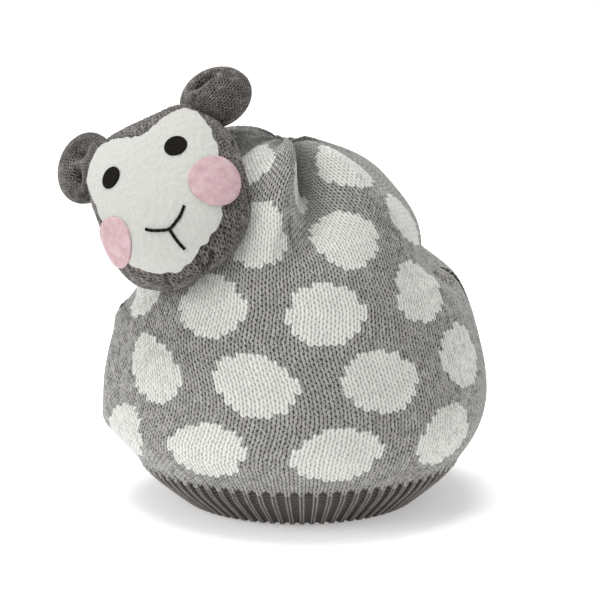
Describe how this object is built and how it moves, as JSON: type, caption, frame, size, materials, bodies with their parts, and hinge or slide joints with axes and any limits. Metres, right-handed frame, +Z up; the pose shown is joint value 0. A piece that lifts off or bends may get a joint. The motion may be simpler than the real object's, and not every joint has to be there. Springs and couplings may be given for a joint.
{
  "type": "tea cosy",
  "caption": "Knitted tea cosy with a ribbed hem, a gathered crown, slits for the spout and the handle, and a small stuffed monkey head sewn to its shoulder.",
  "frame": {"origin": "on the ground under the middle of the whole cosy's bounding box, with the hem flat on z = 0", "axes": "+Z up through the gathered crown, -Y the front that the stuffed face looks out over, -X the spout's side, +X the handle's side"},
  "size_m": [0.1911, 0.1692, 0.1975],
  "materials": {
    "grey_knit": "soft knitted marl yarn",
    "taupe_knit": "soft knitted yarn",
    "white_fleece": "brushed fleece",
    "pink_felt": "brushed felt",
    "black_thread": "stitched thread"
  },
  "bodies": {
    "root": {"knitted_cosy": "grey_knit", "head": "taupe_knit", "ear_left": "taupe_knit", "ear_right": "taupe_knit", "face": "white_fleece", "eye_left": "black_thread", "eye_right": "black_thread", "cheek_left": "pink_felt", "cheek_right": "pink_felt", "mouth": "black_thread"}
  },
  "joints": []
}
